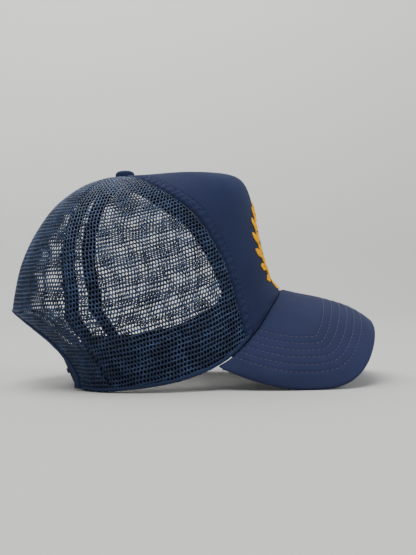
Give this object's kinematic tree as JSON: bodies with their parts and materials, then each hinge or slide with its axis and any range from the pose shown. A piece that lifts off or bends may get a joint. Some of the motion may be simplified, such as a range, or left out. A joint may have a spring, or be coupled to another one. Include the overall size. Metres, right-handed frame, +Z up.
{
  "type": "trucker mesh cap",
  "caption": "High-fronted mesh cap with a cloth front, netted sides and back, an arched rear opening with snap straps, and a strongly curved stitched visor.",
  "frame": {"origin": "bottom centre of the cap's bounding box, on the table the cap rests on", "axes": "+X forward over the visor, +Y to the wearer's left, +Z up through the button"},
  "size_m": [0.2703, 0.1642, 0.1609],
  "materials": {
    "front_cloth": "navy woven polyester cloth, matt",
    "front_foam": "open-cell foam backing, matt",
    "mesh": "navy knitted polyester mesh with open holes, slight sheen",
    "seam_tape": "dark woven tape",
    "visor_cloth": "navy woven polyester cloth, matt, with rows of stitching",
    "visor_board": "moulded visor board",
    "sweatband": "brushed dark cloth over thin foam",
    "binding": "folded mesh and tape binding",
    "button_cloth": "navy cloth drawn over a dome",
    "button_metal": "pressed steel",
    "snap_plastic": "moulded navy plastic, satin",
    "label": "blank white woven satin label",
    "emblem_thread": "golden yellow satin-stitch embroidery thread"
  },
  "bodies": {
    "cap": {"front_panel": "front_cloth", "front_foam": "front_foam", "side_mesh_right": "mesh", "side_mesh_left": "mesh", "rear_mesh_right": "mesh", "rear_mesh_left": "mesh", "front_seam_tape_right": "seam_tape", "front_seam_tape_left": "seam_tape", "rear_seam_tape_right": "seam_tape", "rear_seam_tape_left": "seam_tape", "back_seam_tape": "seam_tape", "visor_top_cover": "visor_cloth", "visor_board": "visor_board", "visor_bottom_cover": "visor_cloth", "sweatband": "sweatband", "opening_binding": "binding", "button_cover": "button_cloth", "button_shell": "button_metal", "button_stud": "button_metal", "button_washer": "button_metal", "strap_root_right": "snap_plastic", "strap_root_left": "snap_plastic", "inner_label": "label", "emblem": "emblem_thread"},
    "holes_strap": {"snap_strap_holes": "snap_plastic"},
    "pegs_strap": {"snap_strap_pegs": "snap_plastic"}
  },
  "joints": [
    {"name": "holes_strap_swing", "type": "hinge", "parent": "cap", "child": "holes_strap", "pos_m": [-0.08737, 0.03969, 0.0139], "axis": [0.3907, 0, -0.9205], "range_deg": [0, 75]},
    {"name": "pegs_strap_swing", "type": "hinge", "parent": "cap", "child": "pegs_strap", "pos_m": [-0.0856, -0.03917, 0.01466], "axis": [0.3907, 0, -0.9205], "range_deg": [0, 35]}
  ]
}
